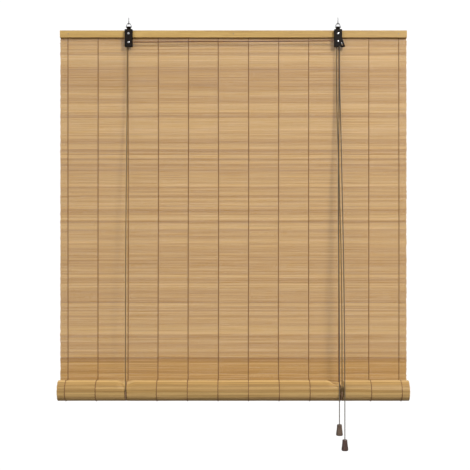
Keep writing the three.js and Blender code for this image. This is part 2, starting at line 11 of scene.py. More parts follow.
import bpy
import numpy as np
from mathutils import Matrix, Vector


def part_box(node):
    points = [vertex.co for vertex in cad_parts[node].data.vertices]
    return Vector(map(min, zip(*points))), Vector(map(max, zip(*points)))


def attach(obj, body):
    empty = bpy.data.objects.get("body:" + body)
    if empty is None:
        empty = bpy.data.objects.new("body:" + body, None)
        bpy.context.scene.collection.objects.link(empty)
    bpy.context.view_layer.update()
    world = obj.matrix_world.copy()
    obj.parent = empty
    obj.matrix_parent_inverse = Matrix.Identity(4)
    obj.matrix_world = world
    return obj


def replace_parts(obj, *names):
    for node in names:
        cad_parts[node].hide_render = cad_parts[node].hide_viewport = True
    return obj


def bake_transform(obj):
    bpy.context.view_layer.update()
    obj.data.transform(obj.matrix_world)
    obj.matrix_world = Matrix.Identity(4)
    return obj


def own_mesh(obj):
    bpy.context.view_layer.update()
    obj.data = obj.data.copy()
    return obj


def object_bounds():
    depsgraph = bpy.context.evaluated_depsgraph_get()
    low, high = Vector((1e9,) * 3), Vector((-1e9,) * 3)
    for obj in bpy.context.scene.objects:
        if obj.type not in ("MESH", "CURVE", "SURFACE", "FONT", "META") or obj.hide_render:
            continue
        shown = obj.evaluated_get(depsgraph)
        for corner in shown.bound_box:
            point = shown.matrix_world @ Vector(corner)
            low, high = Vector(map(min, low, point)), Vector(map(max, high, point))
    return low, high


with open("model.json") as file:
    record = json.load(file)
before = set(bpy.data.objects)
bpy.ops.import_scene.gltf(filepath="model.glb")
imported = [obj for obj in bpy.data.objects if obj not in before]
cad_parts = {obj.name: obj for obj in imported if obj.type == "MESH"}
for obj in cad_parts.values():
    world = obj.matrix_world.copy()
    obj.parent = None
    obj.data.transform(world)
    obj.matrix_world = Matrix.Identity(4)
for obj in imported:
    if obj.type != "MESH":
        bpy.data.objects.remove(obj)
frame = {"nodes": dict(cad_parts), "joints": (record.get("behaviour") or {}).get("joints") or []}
cad_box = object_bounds()

MM = 0.001
rng = np.random.default_rng(56)


def joint(name):
    return next(j for j in frame["joints"] if j["name"] == name)


def middle(node):
    low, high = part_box(node)
    return (low + high) / 2


# ---------------------------------------------------------------- places taken from the frame
hang_low, hang_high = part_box("screen_hanging")
band_low, band_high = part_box("screen_top_band")
roll_axis = Vector(joint("roll_spin")["pos_m"])
screen_y = (hang_low.y + hang_high.y) / 2
slat_thickness = hang_high.y - hang_low.y
half_width = hang_high.x
screen_top = -band_high.z            # distances down the screen are measured from the ceiling
roll_start = -roll_axis.z
spiral_radius = screen_y - roll_axis.y
left_axle = Vector(joint("left_pulley_spin")["pos_m"])
lock_axle = Vector(joint("lock_pulley_spin")["pos_m"])
left_bar = Vector(joint("rail_swing")["pos_m"])
hook_x = lock_axle.x

# ---------------------------------------------------------------- sizes of the CAD parts, in metres
ROLL_PITCH = 3.5 * MM
ROLL_TURNS = 4
CORD_RADIUS = 1.0 * MM
CORD_TURN = 4.0 * MM                 # centreline on a pulley
CORD_GAP = 0.5 * MM
PIECE_GAP = 0.3 * MM
DENT_DEPTH = 2.9 * MM
DENT_FULL_ANGLE = math.pi / 3
DENT_LAYERS = 2
LEFT_WRAP_SHIFT = -3.9 * MM
RIGHT_WRAP_SHIFT = 5.9 * MM
GROOVE_SPACING = 2.8 * MM
ROLL_FRONT_RADIUS = 26.25 * MM

front_groove_y = lock_axle.y - GROOVE_SPACING / 2
back_groove_y = lock_axle.y + GROOVE_SPACING / 2
lock_exit_x = lock_axle.x + CORD_TURN
left_wrap_x = -hook_x + LEFT_WRAP_SHIFT
right_wrap_x = hook_x + RIGHT_WRAP_SHIFT
hanging_cord_y = roll_axis.y - ROLL_FRONT_RADIUS - PIECE_GAP - CORD_RADIUS
behind_screen = screen_y + slat_thickness / 2 + PIECE_GAP + CORD_RADIUS
leg_bottom = roll_axis.z + CORD_GAP

# ---------------------------------------------------------------- sizes of the looks
ROW_PITCH = 7.4 * MM                 # the warp takes in a row of thin slats at a time
ROW_SLATS = 4
SLAT_PITCH = ROW_PITCH / ROW_SLATS
OPEN_WIDTH = 1.74 * MM
CLOSE_WIDTH = 1.83 * MM              # the lowest slats and the rolled ones lie closer together
CLOSE_FROM = 885 * MM                # down the screen
CLOSE_OVER = 30 * MM                 # the width changes over this stretch
RAGGED_END = 1.1 * MM
WARP_COUNT = 12
WARP_FIRST_X = -430 * MM
WARP_SPACING = 78.2 * MM
YARN_RADIUS = 0.72 * MM
PLUMP_RADIUS = 1.15 * MM             # of a cord, over its strands
CROSS_SAG = 3 * MM                   # the cross cord hangs slack between its pulleys
CORD_LAY = 6 * MM                    # one turn of the cord's three strands
LINE_STEP = 2 * MM                   # between two points of a straight cord
SAG_REACH = 9 * MM                   # from a pulley to where the cross cord hangs lowest


# ---------------------------------------------------------------- materials
class Nodes:
    """A short way to write a material's node tree."""

    def __init__(self, name):
        self.material = bpy.data.materials.new(name)
        self.material.use_nodes = True
        self.tree = self.material.node_tree
        self.shader = self.tree.nodes["Principled BSDF"]

    def add(self, kind, **settings):
        node = self.tree.nodes.new("ShaderNode" + kind)
        for key, value in settings.items():
            setattr(node, key, value)
        return node

    def link(self, source, target):
        self.tree.links.new(source, target)

    def place(self, scale):
        """The object's own coordinates, stretched by scale."""
        mapping = self.add("Mapping")
        mapping.inputs["Scale"].default_value = scale
        self.link(self.add("TexCoord").outputs["Object"], mapping.inputs["Vector"])
        return mapping.outputs["Vector"]

    def noise(self, scale, detail=3.0, roughness=0.55, distortion=0.0):
        node = self.add("TexNoise")
        node.inputs["Scale"].default_value = 1.0
        node.inputs["Detail"].default_value = detail
        node.inputs["Roughness"].default_value = roughness
        node.inputs["Distortion"].default_value = distortion
        self.link(self.place(scale), node.inputs["Vector"])
        return node.outputs["Fac"]

    def value(self, name):
        return self.add("Attribute", attribute_name=name).outputs["Fac"]

    def object_x(self):
        separate = self.add("SeparateXYZ")
        self.link(self.add("TexCoord").outputs["Object"], separate.inputs["Vector"])
        return separate.outputs["X"]

    def math(self, operation, a, b=0.5, c=None):
        node = self.add("Math", operation=operation)
        for socket, item in zip(node.inputs, (a, b, c)):
            if item is None:
                continue
            if isinstance(item, (int, float)):
                socket.default_value = item
            else:
                self.link(item, socket)
        return node.outputs["Value"]

    def ramp(self, fac, *stops):
        """Colours along fac, given as (place, (r, g, b)) in linear light."""
        node = self.add("ValToRGB")
        elements = node.color_ramp.elements
        while len(elements) < len(stops):
            elements.new(0.5)
        for element, (place, colour) in zip(elements, stops):
            element.position = place
            element.color = (*colour, 1)
        self.link(fac, node.inputs["Fac"])
        return node.outputs["Color"]

    def mix(self, fac, a, b, blend="MIX"):
        node = self.add("Mix", data_type="RGBA", blend_type=blend)
        for socket, item in ((node.inputs[0], fac), (node.inputs[6], a), (node.inputs[7], b)):
            if isinstance(item, (int, float)):
                socket.default_value = item
            elif isinstance(item, tuple):
                socket.default_value = (*item, 1)
            else:
                self.link(item, socket)
        return node.outputs[2]

    def spread(self, fac, low, high):
        """fac moved from 0..1 to low..high."""
        node = self.add("MapRange")
        node.inputs["To Min"].default_value = low
        node.inputs["To Max"].default_value = high
        self.link(fac, node.inputs["Value"])
        return node.outputs["Result"]

    def finish(self, colour, roughness, height=None, bump=0.3, depth=0.1 * MM, **constants):
        self.link(colour, self.shader.inputs["Base Color"])
        self.link(roughness, self.shader.inputs["Roughness"])
        for key, value in constants.items():
            self.shader.inputs[key.replace("_", " ")].default_value = value
        if height is not None:
            node = self.add("Bump")
            node.inputs["Strength"].default_value = bump
            node.inputs["Distance"].default_value = depth
            self.link(height, node.inputs["Height"])
            self.link(node.outputs["Normal"], self.shader.inputs["Normal"])
        return self.material


def bamboo_material():
    """Thin split slats: each has its own tone, which also shifts between two warps, with fine fibres, and
    painted shade in the roll's slits and along the slats' split edges.
    """
    n = Nodes("bamboo_slats")
    fibres = n.noise((26, 700, 1500), detail=4)
    streaks = n.noise((9, 120, 260), detail=3, distortion=0.4)
    past_first_warp = n.math("SUBTRACT", n.object_x(), WARP_FIRST_X)
    bay = n.math("FLOOR", n.math("DIVIDE", past_first_warp, WARP_SPACING))
    cell = n.add("CombineXYZ")
    n.link(bay, cell.inputs["X"])
    n.link(n.value("slat"), cell.inputs["Y"])
    chance = n.add("TexWhiteNoise", noise_dimensions="2D")
    n.link(cell.outputs["Vector"], chance.inputs["Vector"])
    tone = n.math("MULTIPLY_ADD", n.value("tone"), 0.66, -0.06)
    tone = n.math("MULTIPLY_ADD", chance.outputs["Value"], 0.2, tone)
    tone = n.math("MULTIPLY_ADD", streaks, 0.22, tone)
    tone = n.math("MULTIPLY_ADD", fibres, 0.2, tone)
    face = n.ramp(
        tone,
        (0.18, (0.325, 0.16, 0.041)),
        (0.5, (0.48, 0.268, 0.08)),
        (0.85, (0.63, 0.4, 0.15)),
    )
    back = n.ramp(
        tone,
        (0.18, (0.29, 0.165, 0.045)),
        (0.5, (0.455, 0.275, 0.085)),
        (0.85, (0.62, 0.41, 0.16)),
    )
    colour = n.mix(n.value("back"), face, back)
    colour = n.mix(n.value("cut"), colour, (0.6, 0.46, 0.28))
    # Painted shade: a near-black red-brown, mixed in by the crease value, in the roll's slits beside the
    # cords and along the slats' split edges.
    colour = n.mix(n.value("crease"), colour, (0.06, 0.018, 0.007))
    return n.finish(colour, n.spread(fibres, 0.42, 0.62), fibres, bump=0.35, depth=0.15 * MM)


def wood_material(name, dark, plain, light, grain, roughness=(0.4, 0.55), **constants):
    """Straight-grained wood: growth streaks, pores and a faint bump along the grain."""
    n = Nodes(name)
    broad = n.noise(tuple(0.12 * g for g in grain), detail=2, distortion=0.8)
    fine = n.noise(grain, detail=5, roughness=0.65)
    pores = n.noise(tuple(3 * g for g in grain), detail=1)
    streak = n.math("MULTIPLY_ADD", broad, 0.55, n.math("MULTIPLY", fine, 0.45))
    colour = n.ramp(streak, (0.3, dark), (0.5, plain), (0.68, light))
    pored = n.ramp(pores, (0.3, (0.62, 0.55, 0.5)), (0.42, (1, 1, 1)))
    colour = n.mix(0.6, colour, pored, "MULTIPLY")
    return n.finish(colour, n.spread(fine, *roughness), fine, bump=0.3, depth=0.12 * MM, **constants)


def fibre_material(name, dark, light, scale=1400):
    """Spun yarn: fuzzy, matt, with the colour broken up along its fibres."""
    n = Nodes(name)
    fuzz = n.noise((scale, scale, scale * 0.45), detail=4, roughness=0.7)
    patches = n.noise((60, 60, 25), detail=2)
    wear = n.math("MULTIPLY_ADD", patches, 0.4, n.math("MULTIPLY", fuzz, 0.6))
    colour = n.ramp(wear, (0.3, dark), (0.7, light))
    return n.finish(
        colour,
        n.spread(fuzz, 0.78, 0.95),
        fuzz,
        bump=0.5,
        depth=0.1 * MM,
        Sheen_Weight=0.05,
        Sheen_Roughness=0.5,
    )


def metal_material(name, dark, light, roughness, metallic=1.0, scratch=(900, 900, 90), **constants):
    """Drawn or plated steel: faint scratches, cloudy gloss and a little grime."""
    n = Nodes(name)
    scratches = n.noise(scratch, detail=4, roughness=0.7)
    clouds = n.noise((160, 160, 160), detail=3)
    tarnish = n.math("MULTIPLY_ADD", clouds, 0.6, n.math("MULTIPLY", scratches, 0.4))
    polish = n.math("MULTIPLY_ADD", scratches, 0.5, n.math("MULTIPLY", clouds, 0.5))
    colour = n.ramp(tarnish, (0.3, dark), (0.7, light))
    return n.finish(
        colour,
        n.spread(polish, *roughness),
        scratches,
        bump=0.12,
        depth=0.05 * MM,
        Metallic=metallic,
        **constants,
    )


bamboo = bamboo_material()
rail_wood = wood_material(
    "rail_wood", (0.355, 0.2, 0.046), (0.456, 0.28, 0.072), (0.54, 0.352, 0.108), (14, 420, 420)
)
TASSEL_TONES = {
    "brown": ((0.04, 0.022, 0.013), (0.1, 0.062, 0.04), (0.2, 0.135, 0.09)),
    "red": ((0.022, 0.011, 0.008), (0.06, 0.029, 0.02), (0.12, 0.062, 0.045)),
}
tassel_wood = [
    wood_material(f"tassel_wood_{name}", *tones, (420, 420, 60), (0.25, 0.42), Coat_Weight=0.4)
    for name, tones in TASSEL_TONES.items()
]
cord_yarn = fibre_material("cord_yarn", (0.055, 0.042, 0.028), (0.14, 0.11, 0.075))
lift_yarn = fibre_material("lift_cord_yarn", (0.09, 0.058, 0.022), (0.2, 0.14, 0.06))
# Painted light: a lighter copy of the lift cords' yarn, for their wraps round the roll, which lie in shaded
# grooves.
lit_wrap_yarn = fibre_material("painted_light_cord_yarn", (0.24, 0.13, 0.07), (0.48, 0.3, 0.18))
cross_yarn = fibre_material("cross_cord_yarn", (0.06, 0.02, 0.011), (0.15, 0.058, 0.034))
warp_yarn = fibre_material("warp_yarn", (0.1, 0.036, 0.012), (0.22, 0.09, 0.035), 2200)
lacquer = metal_material(
    "black_lacquer", (0.003, 0.002, 0.0015), (0.011, 0.007, 0.004), (0.34, 0.55), 0, Specular_IOR_Level=0.12
)
steel = metal_material("bright_steel", (0.5, 0.5, 0.52), (0.84, 0.84, 0.86), (0.16, 0.34))
wire_steel = metal_material("wire_steel", (0.08, 0.08, 0.085), (0.26, 0.26, 0.28), (0.14, 0.3))
dark_steel = metal_material("dark_roller", (0.16, 0.15, 0.14), (0.36, 0.34, 0.32), (0.3, 0.5))


# ---------------------------------------------------------------- mesh helpers
class Skin:
    """Gathers closed swept forms into one mesh, with named values on its points."""

    def __init__(self, *value_names):
        self.points = []
        self.faces = []
        self.values = {name: [] for name in value_names}
        self.count = 0

    def add(self, rings, closed=False, **values):
        """rings has the shape (stations, sides, 3) and turns right-handed about the sweep."""
        stations, sides = rings.shape[:2]
        index = self.count + np.arange(stations * sides).reshape(stations, sides)
        ahead = np.roll(index, -1, axis=0) if closed else index[1:]
        here = index if closed else index[:-1]
        quads = np.stack([here, np.roll(here, -1, 1), np.roll(ahead, -1, 1), ahead], axis=-1)
        self.faces += quads.reshape(-1, 4).tolist()
        if not closed:
            self.faces.append(index[0, ::-1].tolist())
            self.faces.append(index[-1].tolist())
        self.points.append(rings.reshape(-1, 3))
        self.count += stations * sides
        for name, store in self.values.items():
            store.append(np.broadcast_to(values[name], (stations, sides)).reshape(-1))
        return self

    def build(self, name, material, body=None, crease=40):
        mesh = bpy.data.meshes.new(name)
        mesh.from_pydata(np.concatenate(self.points).tolist(), [], self.faces)
        for value_name, store in self.values.items():
            attribute = mesh.attributes.new(value_name, "FLOAT", "POINT")
            attribute.data.foreach_set("value", np.concatenate(store).astype(np.float32))
        mesh.polygons.foreach_set("use_smooth", [True] * len(mesh.polygons))
        mesh.set_sharp_from_angle(angle=math.radians(crease))
        mesh.materials.append(material)
        piece = bpy.data.objects.new(name, mesh)
        bpy.context.scene.collection.objects.link(piece)
        if body:
            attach(piece, body)
        return piece


def tube(path, radius, sides=14, strands=0):
    """Rings along a path. With strands, the surface has that many ridges that wind round it."""
    path = np.array(path, float)
    steps = np.diff(path, axis=0)
    tangents = np.gradient(path, axis=0)
    tangents /= np.linalg.norm(tangents, axis=1)[:, None]
    along = np.concatenate([[0], np.cumsum(np.linalg.norm(steps, axis=1))])
    side = np.cross(tangents[0], [0.3, 1, 0.2])
    angles = np.arange(sides) / sides * 2 * np.pi
    rings = []
    for point, tangent, distance in zip(path, tangents, along):
        side = side - tangent * (side @ tangent)
        side /= np.linalg.norm(side)
        other = np.cross(tangent, side)
        reach = np.full(sides, radius)
        if strands:
            turned = angles - 2 * np.pi * distance / CORD_LAY
            reach = radius * (0.9 + 0.2 * np.abs(np.cos(strands * turned / 2)))
        spokes = np.cos(angles)[:, None] * side + np.sin(angles)[:, None] * other
        rings.append(point + reach[:, None] * spokes)
    return np.array(rings)


def smooth_path(points, step):
    """A Catmull-Rom curve through points, with stations about step apart."""
    points = np.array(points, float)
    padded = np.vstack([2 * points[0] - points[1], points, 2 * points[-1] - points[-2]])
    out = []
    for a, b, c, d in zip(padded, padded[1:], padded[2:], padded[3:]):
        count = max(2, round(np.linalg.norm(c - b) / step))
        t = (np.arange(count) / count)[:, None]
        curve = b + 0.5 * t * (c - a + t * (2 * a - 5 * b + 4 * c - d + t * (3 * (b - c) + d - a)))
        out.append(curve)
    out.append(points[-1:])
    return np.vstack(out)


def arc(centre, axis1, axis2, radius, start, end, steps):
    """Points on a circle, from start to end in degrees: axis1 is at 0 and axis2 at 90."""
    a = np.radians(np.linspace(start, end, steps + 1))[:, None]
    return np.array(centre) + radius * (np.cos(a) * np.array(axis1) + np.sin(a) * np.array(axis2))


def filleted(corners, radius, steps=3, closed=False):
    """A 2-D outline with its corners rounded."""
    corners = [np.array(c, float) for c in corners]
    out = []
    for i, corner in enumerate(corners):
        if not closed and i in (0, len(corners) - 1):
            out.append(corner)
            continue
        before = corners[i - 1] - corner
        after = corners[(i + 1) % len(corners)] - corner
        reach = min(radius, 0.45 * np.linalg.norm(before), 0.45 * np.linalg.norm(after))
        start = corner + reach * before / np.linalg.norm(before)
        stop = corner + reach * after / np.linalg.norm(after)
        for k in range(steps + 1):
            t = k / steps
            out.append((1 - t) ** 2 * start + 2 * t * (1 - t) * corner + t**2 * stop)
    return np.array(out)


def turned(profile, centre, axis, segments=40, closed=False):
    """A profile of (radius, height) turned round an axis, "y" or "z". A closed one is a ring."""
    profile = np.array(profile, float)
    a = np.arange(segments) / segments * 2 * np.pi
    first, second, along = {
        "y": ([0, 0, 1], [1, 0, 0], [0, 1, 0]),
        "z": ([1, 0, 0], [0, 1, 0], [0, 0, 1]),
    }[axis]
    spokes = np.cos(a)[:, None] * np.array(first) + np.sin(a)[:, None] * np.array(second)
    rings = np.array(centre) + (
        profile[:, None, 0, None] * spokes[None] + profile[:, None, 1, None] * np.array(along, float)
    )
    return rings.transpose(1, 0, 2)[:, ::-1] if closed else rings


# ---------------------------------------------------------------- the screen's surface
def roll_angle(distance):
    """The turn angle of the roll at a distance down the screen: 0 behind, then under, front and top."""
    into = max(distance - roll_start, 0)
    inside = spiral_radius**2 - into * ROLL_PITCH / math.pi
    return (spiral_radius - math.sqrt(inside)) * 2 * math.pi / ROLL_PITCH


def roll_radius(angle):
    return spiral_radius - ROLL_PITCH * angle / (2 * math.pi)


def screen_frame(distance):
    """The screen's middle, the way down along it and the way out from it, as (y, z) pairs."""
    if distance < roll_start:
        return np.array([screen_y, -distance]), np.array([0.0, -1.0]), np.array([1.0, 0.0])
    angle = roll_angle(distance)
    out = np.array([math.cos(angle), -math.sin(angle)])
    down = np.array([-math.sin(angle), -math.cos(angle)])
    return np.array([roll_axis.y, roll_axis.z]) + roll_radius(angle) * out, down, out


def smoothstep(t):
    t = np.clip(t, 0, 1)
    return t * t * (3 - 2 * t)


def groove_across(x, left, right, left_reach, right_reach):
    """1 between left and right, falling smoothly to 0 over the reach on either side."""
    entering = smoothstep((x - left + left_reach) / left_reach)
    leaving = smoothstep((right + right_reach - x) / right_reach)
    return entering * leaving


# The lift cords lie in narrow grooves, and draw the slats of the roll in beside them.
CORD_GROOVES = [
    (left_wrap_x - 1.2 * MM, left_wrap_x + 1.2 * MM, 1 * MM, 1 * MM),
    (right_wrap_x - 1.2 * MM, right_wrap_x + 1.2 * MM, 1 * MM, 1 * MM),
]
SADDLES = [
    # across, depth, middle angle and half angle in degrees
    ((left_wrap_x - 1 * MM, left_wrap_x + 1 * MM, 24 * MM, 24 * MM), 8 * MM, 240, 62),
    ((right_wrap_x - 14 * MM, right_wrap_x + 4 * MM, 22 * MM, 3 * MM), 12 * MM, 258, 66),
]
SLITS = [
    ((left_wrap_x - 2.1 * MM, left_wrap_x - 1.9 * MM, 1 * MM, 0.6 * MM), 4 * MM, 165, 62),
    ((left_wrap_x + 1.9 * MM, left_wrap_x + 2.1 * MM, 0.6 * MM, 1 * MM), 4 * MM, 165, 62),
    ((right_wrap_x - 3.9 * MM, right_wrap_x - 2.5 * MM, 0.8 * MM, 0.7 * MM), 8 * MM, 172, 70),
    ((right_wrap_x + 2.5 * MM, right_wrap_x + 3.7 * MM, 0.7 * MM, 0.8 * MM), 8 * MM, 172, 70),
]


def cord_groove_depth(angle):
    return DENT_DEPTH * min(angle / DENT_FULL_ANGLE, 1) * max(1 - angle / (2 * math.pi * DENT_LAYERS), 0)


def pressed(x, angle, places):
    """How far the rolled screen is pressed in at x by the given places. Deeper turns are pressed less."""
    depth = np.zeros_like(x)
    layer, around = divmod(math.degrees(angle), 360)
    for across, most, centre, half in places:
        near = math.cos(min(abs(around - centre) / half, 1) * math.pi / 2) ** 2
        depth = np.maximum(depth, most * near * max(1 - 0.25 * layer, 0) * groove_across(x, *across))
    return depth


def roll_dent(x, angle):
    """How far the rolled screen is pressed in at x, in all."""
    if angle <= 0:
        return np.zeros_like(x)
    depth = pressed(x, angle, SADDLES + SLITS)
    for groove in CORD_GROOVES:
        depth = np.maximum(depth, cord_groove_depth(angle) * groove_across(x, *groove))
    return depth


def waves(x, size, lengths=(0.31, 0.13, 0.047)):
    """A smooth random wander along x, about size high."""
    out = np.zeros_like(x)
    for length, share in zip(lengths, (0.6, 0.3, 0.18)):
        out += share * np.sin(2 * np.pi * x / length + rng.uniform(0, 2 * np.pi))
    return size * out


# ---------------------------------------------------------------- slats
SLAT_SIDES = 6
section_angles = (np.arange(SLAT_SIDES) + 0.5) / SLAT_SIDES * 2 * np.pi
section_width = np.sign(np.sin(section_angles)) * np.abs(np.sin(section_angles)) ** 0.55
section_depth = np.sign(np.cos(section_angles)) * np.abs(np.cos(section_angles)) ** 0.8


def slat_stations(rolled):
    tip = half_width - 0.8 * MM
    stations = [np.linspace(-half_width, half_width, 31), [-tip, tip]]
    if rolled:
        for left, right, left_reach, right_reach in [p[0] for p in SADDLES + SLITS] + CORD_GROOVES:
            stations.append(np.linspace(left - left_reach, right + right_reach, 9))
    return np.unique(np.round(np.concatenate(stations), 4))


def add_slat(skin, distance, number, tone, edge):
    """One slat: wandering a little, of uneven width, with ragged ends, and with painted shade along its
    split edges and in the roll's slits.
    """
    rolled = distance > roll_start
    x = slat_stations(rolled)
    ends = rng.uniform(-1, 1, 2) * RAGGED_END * (0.4 if rolled else 1)
    reach = x.copy()
    reach[0] -= ends[0]
    reach[-1] += ends[1]
    centre, down, out = screen_frame(distance)
    wander = waves(x, (0.12 if rolled else 0.03) * MM)
    loose = smoothstep((CLOSE_FROM - distance) / CLOSE_OVER)
    width = (CLOSE_WIDTH + loose * (OPEN_WIDTH - CLOSE_WIDTH)) * rng.uniform(0.985, 1.01) / 2
    width = width + waves(x, 0.02 * MM, (0.21, 0.083, 0.029))
    dent = roll_dent(x, roll_angle(distance))
    stand = waves(x, (0.2 if rolled else 0.1) * MM, (0.42, 0.17, 0.09)) - dent
    twist = waves(x, 0.2 if rolled else 0.08, (0.5, 0.23, 0.1))
    across = width[:, None] * section_width
    depth = 0.47 * slat_thickness * section_depth
    along_screen = wander[:, None] + across * np.cos(twist)[:, None] - depth * np.sin(twist)[:, None]
    outward = stand[:, None] + across * np.sin(twist)[:, None] + depth * np.cos(twist)[:, None]
    yz = centre + along_screen[..., None] * down + outward[..., None] * out
    rings = np.concatenate([np.broadcast_to(reach[:, None, None], (len(x), SLAT_SIDES, 1)), yz], axis=2)
    cut = np.zeros((len(x), 1))
    cut[[0, -1]] = 0.7
    back = np.broadcast_to((section_depth > 0.2).astype(float), (len(x), SLAT_SIDES))
    split_edge = np.abs(np.sin(section_angles)) > 0.95
    # Painted shade: edge darkens the slat's split edges, with a wander along the slat.
    edge_shade = edge + waves(x, 0.2)
    # Painted shade in the roll's slits beside the lift cords, deepest where the slats are pressed in most.
    slit = pressed(x, roll_angle(distance), SLITS) / (8 * MM) if rolled else np.zeros_like(x)
    crease = np.clip(0.85 * smoothstep(1.5 * slit)[:, None] + np.outer(edge_shade, split_edge), 0, 0.85)
    skin.add(rings[:, ::-1], slat=number, tone=tone, back=back[:, ::-1], cut=cut, crease=crease[:, ::-1])


def screen_end():
    turn = 2 * math.pi * ROLL_TURNS
    return roll_start + turn * (spiral_radius - ROLL_PITCH * ROLL_TURNS / 2)


slat_skins = {part: Skin("slat", "tone", "back", "cut", "crease") for part in ("band", "hanging", "rolled")}
rows_above_roll = math.floor((roll_start - screen_top) / ROW_PITCH)
first_row = roll_start - (rows_above_roll - 0.5) * ROW_PITCH
row_places = np.arange(first_row, screen_end() - ROW_PITCH, ROW_PITCH)
band_end = -band_low.z
for row_number, row_place in enumerate(row_places):
    part = "hanging" if row_place < roll_start else "rolled"
    if row_place + ROW_PITCH / 2 < band_end + 0.2 * MM:
        part = "band"
    row_tone = rng.beta(2, 2)
    if part == "rolled":
        row_tone = 1.7 * row_tone - 0.5
    elif part == "hanging" and row_place > CLOSE_FROM - CLOSE_OVER / 2:
        # Painted shade: the lowest hanging rows, just above the roll, get darker tones.
        row_tone -= 0.2
    for k in range(ROW_SLATS):
        place = row_place + (k + 0.5) * SLAT_PITCH - ROW_PITCH / 2 + rng.uniform(-0.03, 0.03) * MM
        tone = 0.6 * row_tone + 0.4 * rng.beta(2, 2)
        # How much painted shade darkens the slat's split edges; the last slat of a row gets the most, a dark
        # line of painted shade between rows, darkest on the roll.
        edge = rng.uniform(0, 0.25)
        if k == ROW_SLATS - 1:
            edge = rng.uniform(0.8, 1.8) if part == "rolled" else rng.uniform(0.1, 0.75)
        add_slat(slat_skins[part], place, ROW_SLATS * row_number + k, tone, edge)

slats_band = slat_skins["band"].build("slats_top_band", bamboo, "rail")
slats_hanging = slat_skins["hanging"].build("slats_hanging", bamboo, "rail")
slats_rolled = slat_skins["rolled"].build("slats_rolled", bamboo, "roll")


# ---------------------------------------------------------------- warp threads
WARP_DRIFT = rng.uniform(-0.9, 0.9, WARP_COUNT) * MM


def warp_paths(start, end):
    """Two yarns at each warp, which change sides of the screen between one row of slats and the next."""
    steps = max(2, round((end - start) / ROW_PITCH * 6))
    distances = np.linspace(start, end, steps + 1)
    phase = np.pi * (distances - first_row) / ROW_PITCH
    stand = (slat_thickness / 2 + YARN_RADIUS * 0.8) * np.clip(1.7 * np.cos(phase), -1, 1)
    swing = 0.65 * MM * np.sin(phase)
    frames = [screen_frame(d) for d in distances]
    for k in range(WARP_COUNT):
        x = WARP_FIRST_X + k * WARP_SPACING
        drift = WARP_DRIFT[k] * np.sin(distances * 5 + k)
        dents = np.array([roll_dent(np.array([x]), roll_angle(d))[0] for d in distances])
        for way in (1, -1):
            yz = np.array([c + (way * s - dent) * out for (c, _, out), s, dent in zip(frames, stand, dents)])
            yield np.column_stack([x + drift + way * swing, yz])


warp_spans = {
    "band": (screen_top + 1 * MM, band_end),
    "hanging": (band_end + 0.3 * MM, roll_start),
    "rolled": (roll_start + 1.1 * MM, row_places[-1]),
}
warps = {}
for part, (start, end) in warp_spans.items():
    skin = Skin()
    for path in warp_paths(start, end):
        skin.add(tube(path, YARN_RADIUS, 6))
    body = "roll" if part == "rolled" else "rail"
    warps[part] = skin.build(f"warp_{part}", warp_yarn, body)


# ---------------------------------------------------------------- cords
def cord_piece(name, path, body, material=cord_yarn, step=0.75 * MM):
    path = smooth_path(path, step)
    piece = Skin().add(tube(path, PLUMP_RADIUS, 12, strands=3)).build(name, material, body)
    return piece, path


# A cord on its way down keeps clear of the pulley first, and of the raised roll's front last: the share of
# its way forward that it has gone at each share of its way down.
WAY_DOWN = [0, 0.13, 0.2, 0.35, 0.5, 0.6, 0.7, 0.8, 0.9, 1]
WAY_FORWARD = [0, 0, 0.1, 0.39, 0.66, 0.82, 0.92, 0.98, 1, 1]


def forward_share(down):
    return np.interp(down, WAY_DOWN, WAY_FORWARD)


def descent(start, end, count=23):
    """The route of a cord from a pulley down to the roll's front."""
    start, end = np.array(start), np.array(end)
    down = np.linspace(0, 1, count)
    share = np.column_stack([forward_share(down), forward_share(down), down])
    return start + share * (end - start)


def line(start, end):
    """Evenly spaced points from start to end."""
    start, end = np.array(start), np.array(end)
    count = max(1, round(np.linalg.norm(end - start) / LINE_STEP))
    return start + np.linspace(0, 1, count + 1)[:, None] * (end - start)


def flatten_with_lift(piece):
    """Gives the piece a mesh of its own. The stretch between the rail and the roll shortens as the blind is
    raised, but nothing here shortens it.
    """
    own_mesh(piece)


def wrap_point(x, angle):
    surface = roll_radius(angle) + slat_thickness / 2 - cord_groove_depth(angle)
    entering = max(1 - angle / DENT_FULL_ANGLE, 0)
    radius = max(surface + PIECE_GAP + CORD_RADIUS, entering * (behind_screen - roll_axis.y))
    return [x, roll_axis.y + radius * math.cos(angle), roll_axis.z - radius * math.sin(angle)]


wrap_front_y = wrap_point(0, math.pi)[1]
lift_sides = [
    ("left", left_wrap_x, Vector((left_axle.x - CORD_TURN, left_axle.y, left_axle.z)), left_axle.z),
    ("right", right_wrap_x, Vector((lock_axle.x - CORD_TURN, back_groove_y, lock_axle.z)), lock_axle.z),
]
for side, wrap_x, top, axle_z in lift_sides:
    knot = middle(f"lift_knot_{side}")
    start_z = axle_z - CORD_GAP
    front, _ = cord_piece(
        f"lift_cord_{side}_front_leg",
        descent((top.x, top.y, start_z), (wrap_x, wrap_front_y, leg_bottom)),
        "rail",
        lift_yarn,
    )
    flatten_with_lift(front)
    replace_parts(front, f"lift_cord_{side}_front")
    back_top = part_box(f"lift_cord_{side}_back")[1].z
    back, _ = cord_piece(
        f"lift_cord_{side}_back_leg",
        [(wrap_x, knot.y, back_top), (wrap_x, behind_screen, leg_bottom)],
        "rail",
        lift_yarn,
    )
    flatten_with_lift(back)
    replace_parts(back, f"lift_cord_{side}_back")
    # The wrap round the roll is drawn in the lighter copy of the lift yarn: painted light.
    under, _ = cord_piece(
        f"lift_cord_{side}_round_roll",
        [wrap_point(wrap_x, a) for a in np.linspace(0, math.pi, 33)],
        "carriage",
        lit_wrap_yarn,
    )
    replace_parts(under, f"lift_cord_{side}_wrap")

